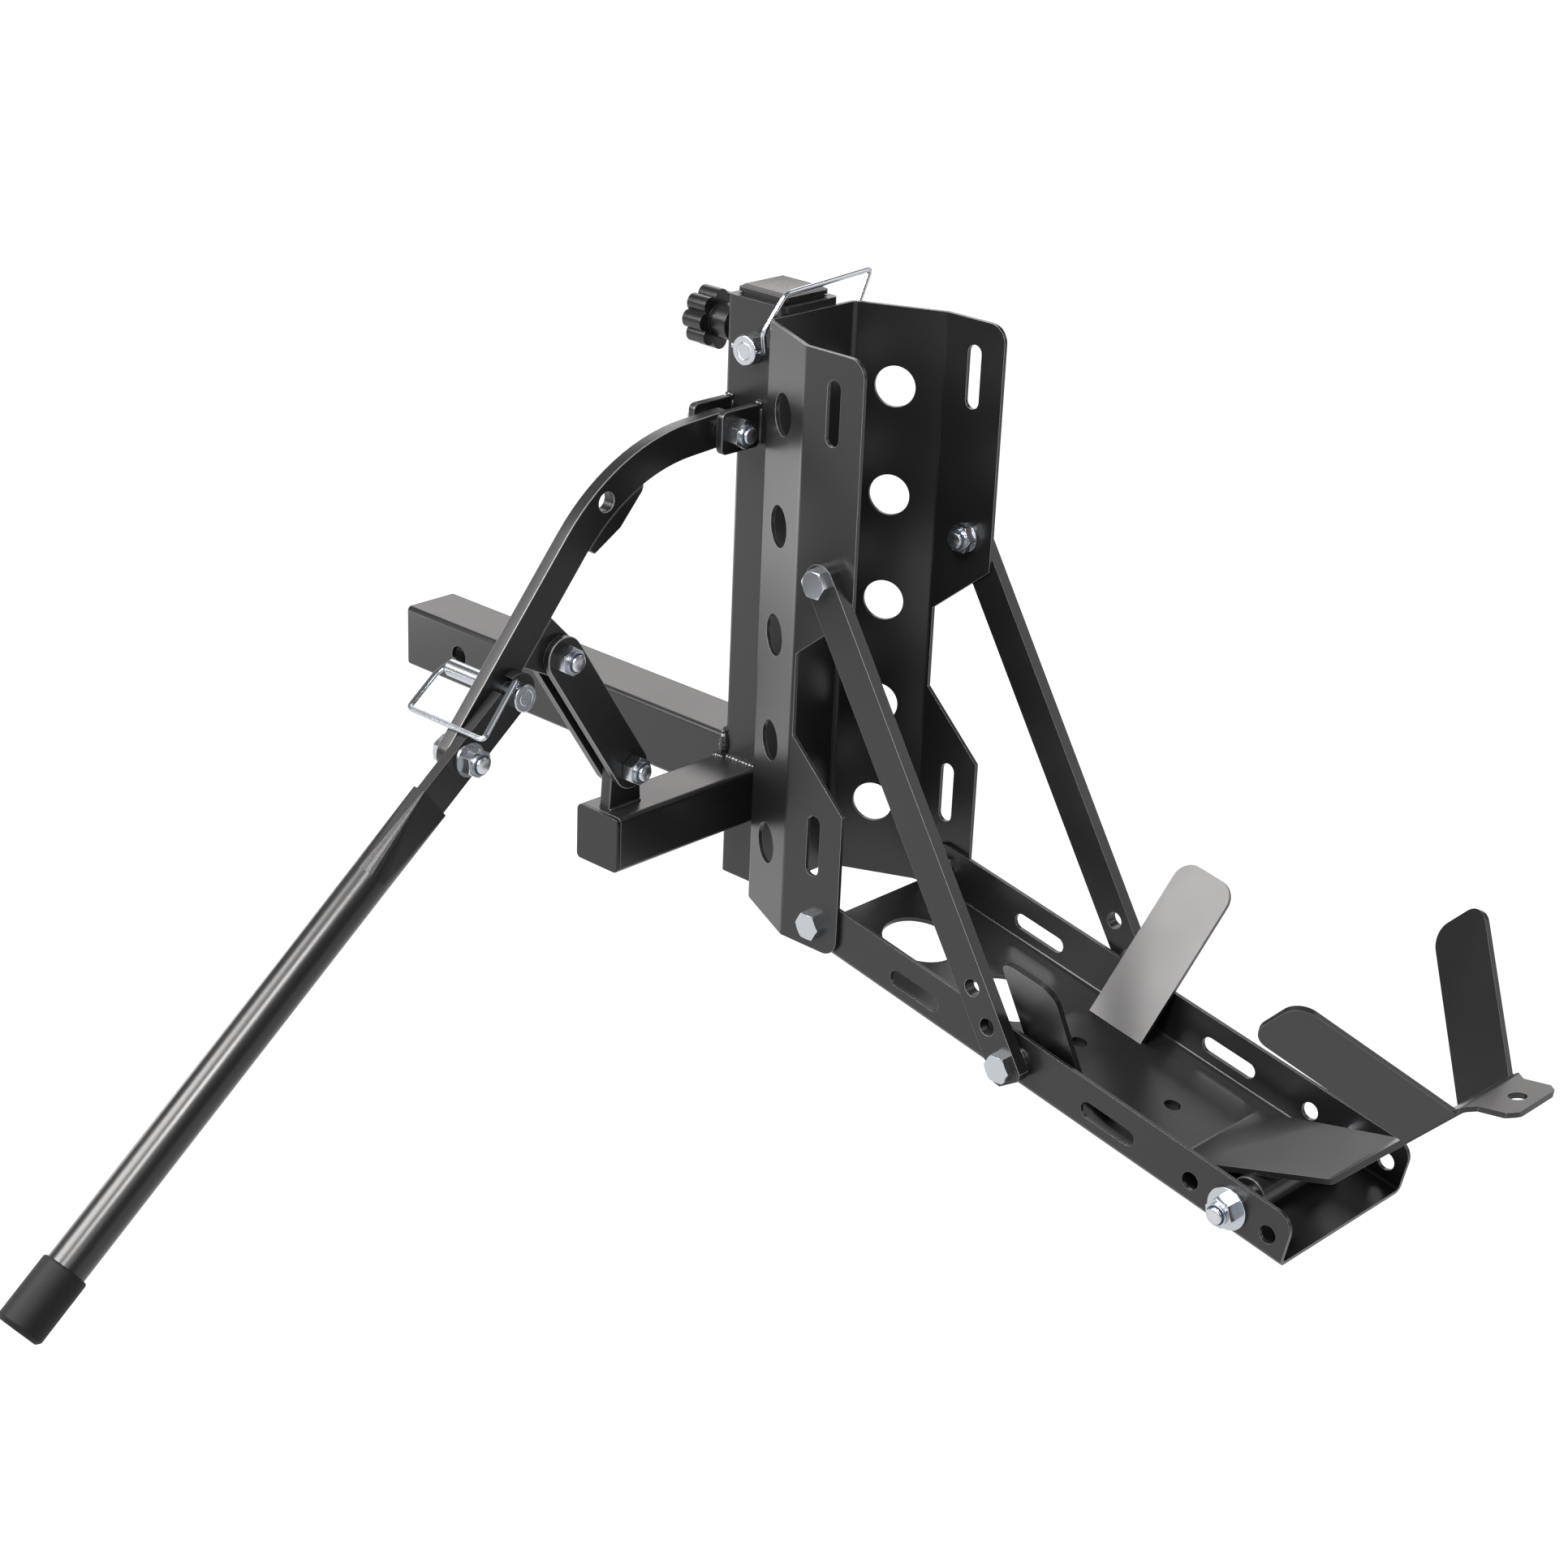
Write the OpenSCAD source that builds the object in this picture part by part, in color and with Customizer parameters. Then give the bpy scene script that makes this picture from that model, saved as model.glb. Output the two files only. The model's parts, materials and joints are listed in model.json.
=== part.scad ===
// Hitch motorcycle carrier: a square hitch bar holds a post, and a lever lifts
// a sleeve with a wheel channel, a wheel tray and a see-saw wheel cradle.
// Origin: middle of the hitch-pin hole. +X to the wheel tray, +Z up, lever at -Y.

/* [Hitch bar and post] */
// Width of the square hitch bar
bar_w = 50.8; // [45:0.1:55]
// Wall of the hitch bar
bar_wall = 5; // [3:0.5:7]
// Bar end to hitch-pin hole
bar_end = 63; // [45:1:90]
// Hitch-pin hole to the middle of the post
pin_to_post = 317; // [260:1:400]
// Radius of the hitch-pin hole
hitch_pin_r = 8.2; // [6.5:0.1:9]
// Width of the square post
post_w = 43; // [40:1:46]
// Wall of the post
post_wall = 4; // [3:0.5:6]
// Lower end of the post, below the bar's middle
post_drop = 87; // [60:1:110]
// Height of the post above the bar's middle
post_h = 358; // [330:1:400]
// Thickness of the plug's cap on the post
plug_t = 5; // [3:0.5:8]

/* [Side arm and links] */
// Width of the square side arm
arm_w = 42; // [38:1:46]
// Wall of the side arm
arm_wall = 4; // [3:0.5:6]
// Reach of the side arm from the middle of the post
arm_reach = 160; // [150:1:190]
// Middle of the side arm behind the middle of the post
arm_back = 8; // [4:1:12]
// Middle of the side arm below the bar's middle
arm_drop = 15; // [10:1:20]
// Lug pivot, in from the end of the side arm
lug_in = 19; // [16:1:26]
// Lug pivot, above the bar's middle
lug_z = 37; // [32:1:45]
// Thickness of the lug, the fulcrum boss and the lever bar
lever_t = 10; // [8:0.5:12]
// Thickness of one link
link_t = 6; // [4:0.5:8]
// Width of one link
link_w = 31; // [28:1:34]

/* [Lever and handle] */
// Clevis pivot, out from the middle of the post
clevis_y = 51; // [48:1:56]
// Clevis pivot above the lower end of the sleeve
clevis_up = 18; // [16:1:22]
// Height of the lever bar
lever_h = 25; // [22:1:30]
// Fulcrum, out from the middle of the post
fulcrum_y = 206; // [200:1:212]
// Fulcrum below the clevis pivot, carriage raised
fulcrum_fall = 132; // [126:1:138]
// Lever's corner, out from the middle of the post
corner_y = 149; // [145:1:154]
// Lever's corner below the clevis pivot
corner_fall = 6; // [0:1:10]
// Radius of the lever's bend
lever_bend_r = 150; // [120:5:160]
// Slope of the lever's straight half below the level
lever_drop = 50; // [47:1:53]
// Lever's corner to the handle pivot
handle_at = 228; // [222:1:236]
// Slope of the handle below the level
handle_drop = 38; // [36:1:42]
// Handle pivot to the end of the tube
handle_l = 460; // [300:5:600]
// Radius of the handle tube
tube_r = 14; // [12:0.5:16]
// Wall of the handle tube
tube_wall = 2; // [1.5:0.25:3]
// Handle pivot to the handle lock pin
pin_at = 55; // [50:1:62]
// Slope of the line from the handle pivot up to the lock pin
pin_rise = 40; // [38:1:44]

/* [Sleeve and clamp] */
// Outer width of the sleeve
sleeve_w = 55; // [52:1:60]
// Gap between post and sleeve, each side
slide_gap = 0.6; // [0.4:0.1:1]
// Top of the sleeve below the top of the post, carriage raised
sleeve_fall = 2; // [1:1:5]
// Length of the sleeve
sleeve_l = 106; // [102:1:109]
// Lift travel
lift = 64; // [40:1:65]
// Top lock pin below the top of the post, carriage raised
lock_fall = 36; // [32:1:40]
// Radius of the lock pins
lock_r = 6; // [5:0.5:7]
// Radius of the star knob
knob_r = 22; // [19:1:26]
// Lobes of the star knob
knob_lobes = 8; // [5:1:10]

/* [Wheel channel] */
// Sheet thickness of channel and tray
sheet = 3; // [2:0.25:4]
// Top of the channel below the top of the post, carriage raised
chan_fall = 7; // [2:1:12]
// Lower end of the channel, below the bar's middle
chan_drop = 84; // [80:1:90]
// Half the width of the channel's web
web_half = 42.5; // [36:0.5:48]
// Middle of the post to the channel's outer bend
bend_x = 91; // [80:1:100]
// Middle of the post to the flange edge
flange_x = 144; // [138:1:155]
// Radius of the holes in the slanted walls
light_r = 15; // [10:0.5:18]
// Step between the wall holes
light_step = 80; // [70:1:82]
// Number of holes in each wall
light_n = 5; // [3:1:5]
// Width of the strap slots
slot_w = 12; // [8:0.5:14]
// Length of the strap slots
slot_l = 46; // [30:1:50]

/* [Wheel tray] */
// Middle of the post to the tray's pivot and the brace's top bolt
pivot_x = 121; // [112:1:126]
// Tray pivot below the bar's middle
pivot_drop = 65; // [62:1:68]
// Slope of the tray, down and away from the post
tray_slope = 10.9; // [0:0.1:14]
// Tray pivot to its outer end
tray_l = 423; // [415:1:460]
// Outer width of the tray
tray_w = 140; // [132:1:140]
// Height of the tray's flanges
tray_h = 38; // [34:1:44]
// Radius of the large hole in the tray's floor
floor_hole_r = 28; // [20:1:34]
// Brace bolt above the bar's middle
brace_z = 194; // [190:1:200]
// Tray pivot to the brace's foot bolt
brace_foot = 190; // [180:1:195]
// Width of a brace
brace_w = 26; // [23:1:30]
// Thickness of a brace
brace_t = 9.5; // [5:0.5:11]
// Step of the brace's three adjusting holes
brace_step = 28.5; // [26:0.5:32]

/* [Wheel cradle] */
// End of the tray to the cradle's axle
axle_in = 47; // [43:1:53]
// Thickness of the cradle's plate
cradle_t = 4; // [3:0.5:5]
// Axle to the cradle's inner end
cradle_back = 208; // [204:1:216]
// Axle to the cradle's first bend
bend_back = 59; // [56:1:64]
// Rise of the cradle's ramp above the tray
ramp_rise = 26; // [24:1:28]
// Length of the ramp
ramp_l = 119; // [115:1:125]
// Rise of the cradle's wheel rest above the tray
rest_rise = 57; // [50:1:62]
// Length of the wheel rest
rest_l = 116; // [112:1:120]
// Rise of the end lip above the tray
lip_rise = 20; // [10:1:24]
// Length of the end lip
lip_l = 33; // [26:1:38]
// Width of a side tab
tab_w = 47; // [36:1:50]
// Length of a side tab
tab_l = 128; // [90:1:134]
// Outward flare of the front tabs
tab_flare = 33; // [28:1:38]
// Outward flare of the tabs on the wheel rest
rest_flare = 35; // [28:1:38]
// Near front tab further along than the far one
tab_stagger = 11; // [0:1:14]

/* [Fasteners and clearances] */
// Radius of the large bolts
bolt_r = 6; // [5:0.25:6.5]
// Radius of the tray and brace bolts
small_bolt_r = 6; // [5:0.25:6.25]
// Loose gap round a bolt, on the radius
loose = 0.3; // [0.2:0.05:0.6]
// Running gap round a pivot, on the radius
running = 0.06; // [0.03:0.01:0.1]
// Side gap between pieces that turn
side_gap = 0.4; // [0.3:0.1:0.8]
// Radius of the wire bails
wire_r = 2; // [1.5:0.1:2.5]

/* [Hidden] */
$fn = 48;
eps = 0.1;
black = [0.07, 0.07, 0.075];
plastic = [0.05, 0.05, 0.055];
zinc = [0.78, 0.79, 0.8];

// Fastener proportions
function head_af(r) = r * 3.1;
function head_t(r) = r * 1.15;
function flange_r(r) = r * 2.05;
washer_t = 2.5;

// Planes and points, measured from the middle of the post
post_half = post_w / 2;
sleeve_half = sleeve_w / 2;
sleeve_top = post_h - sleeve_fall;
sleeve_z = sleeve_top - sleeve_l;
lock_z = post_h - lock_fall;
chan_top = post_h - chan_fall;
clevis_z = sleeve_z + clevis_up;
lever_x = -arm_back;
lever_half = lever_t / 2;
link_off = lever_half + side_gap;
arm_top = arm_w / 2 - arm_drop;
lug_pt = [lug_in - arm_reach, lug_z];
fulcrum_pt = [-fulcrum_y, clevis_z - fulcrum_fall];
clevis_pt = [-clevis_y, clevis_z];
corner_pt = [-corner_y, clevis_z - corner_fall];
drop_dir = [-cos(lever_drop), -sin(lever_drop)];
grip_dir = [-cos(handle_drop), -sin(handle_drop)];
handle_pt = corner_pt + handle_at * drop_dir;
lock_pt = handle_pt + pin_at * [cos(pin_rise), sin(pin_rise)];
// Room at the fulcrum for the straight-line ratios of the lift
fulcrum_room = 3;
clevis_gap = lever_t + 12;
ear_t = 6;
ear_out = clevis_gap / 2 + ear_t;
tang_t = 8;
tang_x = lever_x + lever_half + side_gap + tang_t / 2;
tang_w = 26;
cap_r = tube_r + 2.5;
cap_l = 42;

// Channel outline
chan_half = tray_w / 2 + 0.5 + sheet / 2;
web_x = sleeve_half + sheet / 2;
wall_turn = atan2(chan_half - web_half, bend_x - web_x);
function wall_y(x) = web_half + (x - web_x) * tan(wall_turn);
light_top = chan_top - 58;
light_x = 59;
slot_x = pivot_x - 3;
slot_zs = [chan_top - 18 - slot_l / 2, 18 - slot_l / 2];
wing_low = 180;
waist_top = 133;
waist_low = 72;
wing_top2 = 24;
wing_r = 13;

// Tray outline, from its pivot
bolt_up = 17;
floor_n = -bolt_up;
tray_back = 12;
tray_bend = 4;
tray_slots = [97, 273];
floor_holes = [43, 127];
tray_holes = [tray_l - 79, tray_l - 15];
axle_at = tray_l - axle_in;
cradle_start = axle_at - cradle_back;
cradle_bend = axle_at - bend_back;
foot_n = -0.5;
foot_pt = [brace_foot, foot_n];
axle_room = 6.5;

// Brace ends in the plane of the post
brace_top_pt = [pivot_x, brace_z];
tray_pt = [pivot_x, -pivot_drop];
function from_tray(p) = tray_pt + [p.x * cos(tray_slope) + p.y * sin(tray_slope),
                                   p.y * cos(tray_slope) - p.x * sin(tray_slope)];
brace_foot_pt = from_tray(foot_pt);
brace_in = chan_half + sheet / 2;

// Cradle outline, from the tray pivot: run along the tray, rise above it
cradle_n = floor_n + sheet + cradle_t / 2 + running;
function step(p, l, a) = p + l * [cos(a), sin(a)];
bend_pt = [cradle_bend, cradle_n];
ramp_pt = step(bend_pt, ramp_l, ramp_rise);
rest_pt = step(ramp_pt, rest_l, rest_rise);
lip_pt = step(rest_pt, lip_l, lip_rise);
cradle_path = [[cradle_start, cradle_n], bend_pt, ramp_pt, rest_pt, lip_pt];
// Axle to the underside of the ramp
ramp_gap = (cradle_n - (axle_at - cradle_bend) * -tan(ramp_rise)) * cos(ramp_rise) - cradle_t / 2;
tube_seat = ramp_gap - 0.02;
plate_half = 40;
ramp_half = 48;
ramp_end_half = 39;
rest_half = 33.7;
lip_half = 26;
tab_in = 5;
tab_r = 14;
ramp_flare = 45;

// Bent sheet: a path with rounded corners, thickened to both sides
function unit(v) = v / norm(v);
function turn(a, b) = ((b - a + 540) % 360) - 180;
function arc_corner(a, b, c, r, n) =
    let (u = unit(a - b), w = unit(c - b), half = acos(u * w) / 2, s = b + u * r / tan(half),
         o = b + unit(u + w) * r / sin(half), e = b + w * r / tan(half),
         a0 = atan2(s.y - o.y, s.x - o.x), sweep = turn(a0, atan2(e.y - o.y, e.x - o.x)))
    [for (i = [0:n]) o + r * [cos(a0 + sweep * i / n), sin(a0 + sweep * i / n)]];
function bent(pts, r, n = 4) =
    [pts[0], for (i = [1:len(pts) - 2]) each arc_corner(pts[i - 1], pts[i], pts[i + 1], r, n),
     pts[len(pts) - 1]];
function beside(path, d) =
    [for (i = [0:len(path) - 1])
        let (p = path[i], t1 = i > 0 ? unit(p - path[i - 1]) : unit(path[1] - p),
             t2 = i < len(path) - 1 ? unit(path[i + 1] - p) : t1,
             n1 = [-t1.y, t1.x], n2 = [-t2.y, t2.x], m = unit(n1 + n2)) p + m * d / (m * n1)];
function flipped(v) = [for (i = [len(v) - 1:-1:0]) v[i]];
module strip(path, t) polygon(concat(beside(path, t / 2), flipped(beside(path, -t / 2))));
// The same with half-round ends
function heading(a, b) = atan2(b.y - a.y, b.x - a.x);
module round_strip(path, t) {
    last = len(path) - 1;
    to_end = heading(path[last - 1], path[last]);
    to_start = heading(path[0], path[1]);
    polygon(concat(beside(path, t / 2), flipped(half_round(path[last], t / 2, to_end - 90)),
                   flipped(beside(path, -t / 2)), flipped(half_round(path[0], t / 2, to_start + 90))));
}

// Frames and directions
module at_post() translate([pin_to_post, 0, 0]) children();
module on_tray() at_post() translate([pivot_x, 0, -pivot_drop]) rotate([0, tray_slope, 0]) children();
module along_x() rotate([0, 90, 0]) children();
module along_y() rotate([-90, 0, 0]) children();
// Flat outline in Y and Z, thickened along X from x
module plate_x(x, t) translate([x, 0, 0]) rotate([90, 0, 90]) linear_extrude(t) children();
// Flat outline in X and Z, thickened along Y, middle at y
module plate_y(y, t) translate([0, y + t / 2, 0]) rotate([90, 0, 0]) linear_extrude(t) children();
module both_sides() for (side = [0, 1]) mirror([0, side, 0]) children();

// Half circle of points about p, from direction a0 on
function half_round(p, r, a0, n = 16) =
    [for (i = [0:n]) let (a = a0 + 180 * i / n) p + r * [cos(a), sin(a)]];
// Rounded bar between two points
function round_bar(a, b, w) = let (t = atan2(b.y - a.y, b.x - a.x))
    concat(half_round(b, w / 2, t - 90), half_round(a, w / 2, t + 90));
module bar2d(a, b, w) polygon(round_bar(a, b, w));
module slot2d(l, w) bar2d([-(l - w) / 2, 0], [(l - w) / 2, 0], w);
module round_rect(lo, hi, r) {
    translate([lo.x + r, lo.y]) square([hi.x - lo.x - 2 * r, hi.y - lo.y]);
    translate([lo.x, lo.y + r]) square([hi.x - lo.x, hi.y - lo.y - 2 * r]);
    for (x = [lo.x + r, hi.x - r], y = [lo.y + r, hi.y - r]) translate([x, y]) circle(r);
}
module square_tube(w, wall, l, r = 4) linear_extrude(l) difference() {
    round_rect([-w / 2, -w / 2], [w / 2, w / 2], r);
    square(w - 2 * wall, center = true);
}

// Hexagon prism with turned-off corners, from z = 0 up
module hex(af, h) intersection() {
    cylinder(d = af / cos(30), h = h, $fn = 6);
    cylinder(r1 = af / 2 / cos(30) + 2 * h, r2 = af / 2 * 0.98, h = h);
}
// Bolt: bearing face at z = 0, head above, shank below
module bolt(r, l) {
    hex(head_af(r), head_t(r));
    translate([0, 0, -l]) cylinder(r = r, h = l + eps);
    translate([0, 0, -l - 1]) cylinder(r1 = r * 0.8, r2 = r, h = 1);
}
// Flanged lock nut on a bolt, bearing face at z = 0
module lock_nut(r, out = flange_r(r)) difference() {
    union() {
        cylinder(r = out, h = r * 0.3);
        hex(head_af(r), r * 1.5);
        cylinder(r = head_af(r) * 0.42, h = r * 1.9);
    }
    translate([0, 0, -1]) cylinder(r = r + running, h = r * 3);
}
module washer(r, out, t) difference() {
    cylinder(r = out, h = t);
    translate([0, 0, -1]) cylinder(r = r + loose, h = t + 2);
}
// Wire: a round rod swept along points, with softened corners
wire_sides = 14;
function soft(pts, d, n = 4) =
    [pts[0], for (i = [1:len(pts) - 2])
        let (b = pts[i], s = b + unit(pts[i - 1] - b) * d, e = b + unit(pts[i + 1] - b) * d)
        each [for (k = [0:n]) let (t = k / n) (1 - t) * (1 - t) * s + 2 * t * (1 - t) * b + t * t * e],
     pts[len(pts) - 1]];
function tangent(p, i) =
    i == 0 ? unit(p[1] - p[0]) : i == len(p) - 1 ? unit(p[i] - p[i - 1]) :
    unit(unit(p[i] - p[i - 1]) + unit(p[i + 1] - p[i]));
function flat_to(v, t) = unit(v - (v * t) * t);
function sides(p, i, u) = i == len(p) ? [] :
    let (w = flat_to(u, tangent(p, i))) concat([w], sides(p, i + 1, w));
module wire(pts) {
    path = soft(pts, 2 * wire_r);
    n = wire_sides;
    last = len(path) - 1;
    us = sides(path, 0, [0.31, 0.52, 0.79]);
    points = [for (i = [0:last], j = [0:n - 1]) let (a = j * 360 / n)
        path[i] + wire_r * (cos(a) * us[i] + sin(a) * cross(tangent(path, i), us[i]))];
    walls = [for (i = [0:last - 1], j = [0:n - 1]) let (k = (j + 1) % n)
        each [[i * n + j, (i + 1) * n + j, (i + 1) * n + k], [i * n + j, (i + 1) * n + k, i * n + k]]];
    polyhedron(points, concat([[for (j = [0:n - 1]) j]], walls, [[for (j = [n - 1:-1:0]) last * n + j]]));
}

// Frame
module hitch_bar() color(black) difference() {
    translate([-bar_end, 0, 0]) along_x() square_tube(bar_w, bar_wall, bar_end + pin_to_post - post_half);
    translate([0, -bar_w, 0]) along_y() cylinder(r = hitch_pin_r, h = 2 * bar_w);
}

module post() color(black) at_post() difference() {
    translate([0, 0, -post_drop]) square_tube(post_w, post_wall, post_drop + post_h);
    // Slot that lets the lock pin ride with the sleeve over the lift travel
    plate_y(0, post_w + 2) bar2d([0, lock_z], [0, lock_z - lift], 2 * (lock_r + loose + side_gap));
}

module post_plug() color(plastic) at_post() translate([0, 0, post_h]) {
    cap_half = post_half + 1.5;
    linear_extrude(plug_t * 0.6) round_rect([-cap_half, -cap_half], [cap_half, cap_half], 4);
    translate([0, 0, plug_t * 0.6])
        linear_extrude(plug_t * 0.4, scale = 0.88) square(2 * cap_half - 3, center = true);
    stem = post_w - 2 * post_wall - 0.4;
    translate([0, 0, -12]) linear_extrude(12 + eps) difference() {
        square(stem, center = true);
        square(stem - 5, center = true);
    }
}

module side_arm() color(black) at_post() difference() {
    translate([lever_x, -arm_reach, -arm_drop]) along_y()
        square_tube(arm_w, arm_wall, arm_reach - post_half);
    // Coped round the hitch bar
    translate([-2 * bar_w - post_half, -bar_w / 2, -bar_w]) cube([2 * bar_w, bar_w, 2 * bar_w]);
}

module arm_plug() color(plastic) at_post() translate([lever_x, -arm_reach, -arm_drop]) {
    half = arm_w / 2;
    plate_y(-1.75, 3.5) round_rect([-half, -half], [half, half], 4);
    stem = half - arm_wall - 0.2;
    plate_y(6, 12 + eps) round_rect([-stem, -stem], [stem, stem], 2);
}

module arm_lug() color(black) at_post() plate_x(lever_x - lever_half, lever_t) difference() {
    foot = link_w / 2;
    polygon(concat([[lug_pt.x - foot, arm_top], [lug_pt.x + foot, arm_top]],
                   half_round(lug_pt, foot - 2, 0)));
    translate(lug_pt) circle(bolt_r + loose);
}

// Cross bolt of the lever's plane: head on the -X side, reach to each side of the lever
module cross_bolt(pt, out) translate([lever_x - out, pt.x, pt.y]) rotate([0, -90, 0])
    bolt(bolt_r, 2 * out + bolt_r * 2.2);
module cross_nut(pt, out) translate([lever_x + out, pt.x, pt.y]) along_x() lock_nut(bolt_r);
link_out = link_off + link_t;
module lug_bolt() color(zinc) at_post() cross_bolt(lug_pt, link_out + side_gap);
module lug_nut() color(zinc) at_post() cross_nut(lug_pt, link_out + side_gap);

// Links
module link(x) color(black) at_post() plate_x(x, link_t) difference() {
    bar2d(lug_pt, fulcrum_pt, link_w);
    translate(lug_pt) circle(bolt_r + running);
    translate(fulcrum_pt) circle(bolt_r + loose);
}
module near_link() link(lever_x + link_off);
module far_link() link(lever_x - link_off - link_t);
module fulcrum_bolt() color(zinc) at_post() cross_bolt(fulcrum_pt, link_out);
module fulcrum_nut() color(zinc) at_post() cross_nut(fulcrum_pt, link_out);

// Lever
lever_path = bent([clevis_pt, corner_pt, handle_pt], lever_bend_r, 14);
module lever_bar() color(black) at_post() plate_x(lever_x - lever_half, lever_t) difference() {
    round_strip(lever_path, lever_h);
    translate(clevis_pt) circle(bolt_r + running);
    translate(handle_pt) circle(bolt_r + loose);
    translate(lock_pt) circle(lock_r + running);
    translate(stow_pt) circle(lock_r + 1);
}
// Points on the straight half of the lever, counted from its corner
function on_lever(l, d) = corner_pt + l * drop_dir + d * [drop_dir.y, -drop_dir.x];
stow_pt = corner_pt + [-15, -25];
boss_at = (fulcrum_pt - corner_pt) * drop_dir;

module fulcrum_boss() color(black) at_post() plate_x(lever_x - lever_half, lever_t) difference() {
    polygon(concat([on_lever(boss_at + 22, -lever_h / 2 + 2), on_lever(boss_at - 18, -lever_h / 2 + 2)],
                   flipped(half_round(fulcrum_pt, link_w / 2, 180 + lever_drop))));
    strip(lever_path, lever_h);
    translate(fulcrum_pt) circle(bolt_r + fulcrum_room);
}

// Lug under the lever's bend, beside the hole that takes the lock pin while the handle is stowed
module stow_plate() color(black) at_post() plate_x(lever_x - lever_half, lever_t) difference() {
    translate(corner_pt) polygon([[24, -6], [19, -24], [-1, -46], [-25, -60], [-45, -46]]);
    strip(lever_path, lever_h);
}

module clevis_spacers() color(zinc) at_post() for (side = [-1, 1])
    translate([lever_x + side * (lever_half + side_gap), clevis_pt.x, clevis_pt.y])
        rotate([0, side * 90, 0]) washer(bolt_r, bolt_r + 4, clevis_gap / 2 - lever_half - side_gap);

module handle_bolt() color(zinc) at_post()
    translate([lever_x - lever_half, handle_pt.x, handle_pt.y]) rotate([0, -90, 0])
        bolt(bolt_r, lever_t + side_gap + tang_t + washer_t + bolt_r * 2.2);
module handle_nut() color(zinc) at_post()
    translate([tang_x + tang_t / 2 + side_gap, handle_pt.x, handle_pt.y]) along_x() {
        washer(bolt_r, bolt_r * 2, washer_t);
        translate([0, 0, washer_t]) lock_nut(bolt_r);
    }

// Handle
tang_end = 62;
flat_l = 66;
tube_from = 38;
round_at = tube_from + flat_l;
module handle_tang() color(black) at_post() plate_x(tang_x - tang_t / 2, tang_t) difference() {
    bar2d(handle_pt + tang_end * grip_dir, handle_pt - (pin_at + 4) * grip_dir, tang_w);
    translate(handle_pt) circle(bolt_r + running);
    translate(lock_pt) circle(lock_r + loose);
    pin_way();
}
// Arc about the handle pivot by which the tang leaves the lock pin as the handle folds
module pin_way() translate(handle_pt) intersection() {
    room = lock_r + loose + 0.2;
    difference() {
        circle(pin_at + room);
        circle(pin_at - room);
    }
    rotate(pin_rise) square(2 * pin_at);
}
// Handle frame: z along the handle, x across the lever's plane
module on_handle() at_post() translate([tang_x, handle_pt.x, handle_pt.y])
    rotate([90 + handle_drop, 0, 0]) children();
module tube_loft(r, flat) hull() {
    translate([0, 0, round_at]) cylinder(r = r, h = 0.5, $fn = 32);
    translate([0, 0, tube_from]) linear_extrude(0.5)
         round_rect([-flat, -tang_w / 2 - r + 12], [flat, tang_w / 2 + r - 12], 1.5);
}
module handle_tube() color(black) on_handle() difference() {
    union() {
        tube_loft(tube_r, tang_t / 2 + tube_wall);
        translate([0, 0, round_at]) cylinder(r = tube_r, h = handle_l - round_at);
    }
    translate([0, 0, round_at + 4]) cylinder(r = tube_r - tube_wall, h = handle_l);
    // Slot for the tang
    translate([-tang_t / 2, -tang_w / 2 - 0.2, 0])
        cube([tang_t, tang_w + 0.4, tang_end + tang_w / 2 + 0.5]);
}
module handle_cap() color(plastic) on_handle() translate([0, 0, handle_l - cap_l]) difference() {
    rotate_extrude() polygon([[0, 0], [cap_r - 1, 0], [cap_r, 1.5], [cap_r, cap_l + 3],
                              [cap_r - 2.5, cap_l + 6], [0, cap_l + 6]]);
    translate([0, 0, -1]) cylinder(r = tube_r + 0.05, h = cap_l + 1);
}

// Handle lock pin: head beside the tang, shank through the tang's notch and the lever
pin_l = 66;
head_l = 10;
pin_face = tang_x + tang_t / 2 + loose;
module handle_lock_pin() color(zinc) at_post() translate([pin_face, lock_pt.x, lock_pt.y]) along_x()
difference() {
    union() {
        hex(2 * lock_r + 5, head_l);
        translate([0, 0, -pin_l]) cylinder(r = lock_r, h = pin_l + eps);
        translate([0, 0, -pin_l - 2]) cylinder(r1 = lock_r * 0.7, r2 = lock_r, h = 2);
    }
    translate([0, 0, head_l / 2]) rotate([0, 0, bail_drop]) along_x()
        cylinder(r = wire_r + loose, h = 60, center = true);
}
// Wire bail: through the pin's head, over the lever, round the pin's far end
bail_reach = 48;
bail_drop = 18;
bail_lean = 14;
module handle_bail() color(zinc) at_post() {
    out = [-cos(bail_drop), -sin(bail_drop)];
    up = [out.y, -out.x];
    above = lock_pt + (lock_r + 8) * up;
    below = lock_pt - (lock_r + 6) * up;
    q = lock_pt + bail_reach * out;
    x0 = pin_face - pin_l - 2 - wire_r - 0.8;
    x1 = pin_face + head_l / 2;
    a = lock_pt + 10 * out;
    b = lock_pt - 8 * out;
    wire([[x1, below.x, below.y], [x1, above.x, above.y], [x1 + bail_lean, q.x, q.y],
          [x0 + bail_lean, q.x, q.y], [x0, a.x, a.y], [x0, b.x, b.y]]);
}

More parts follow.
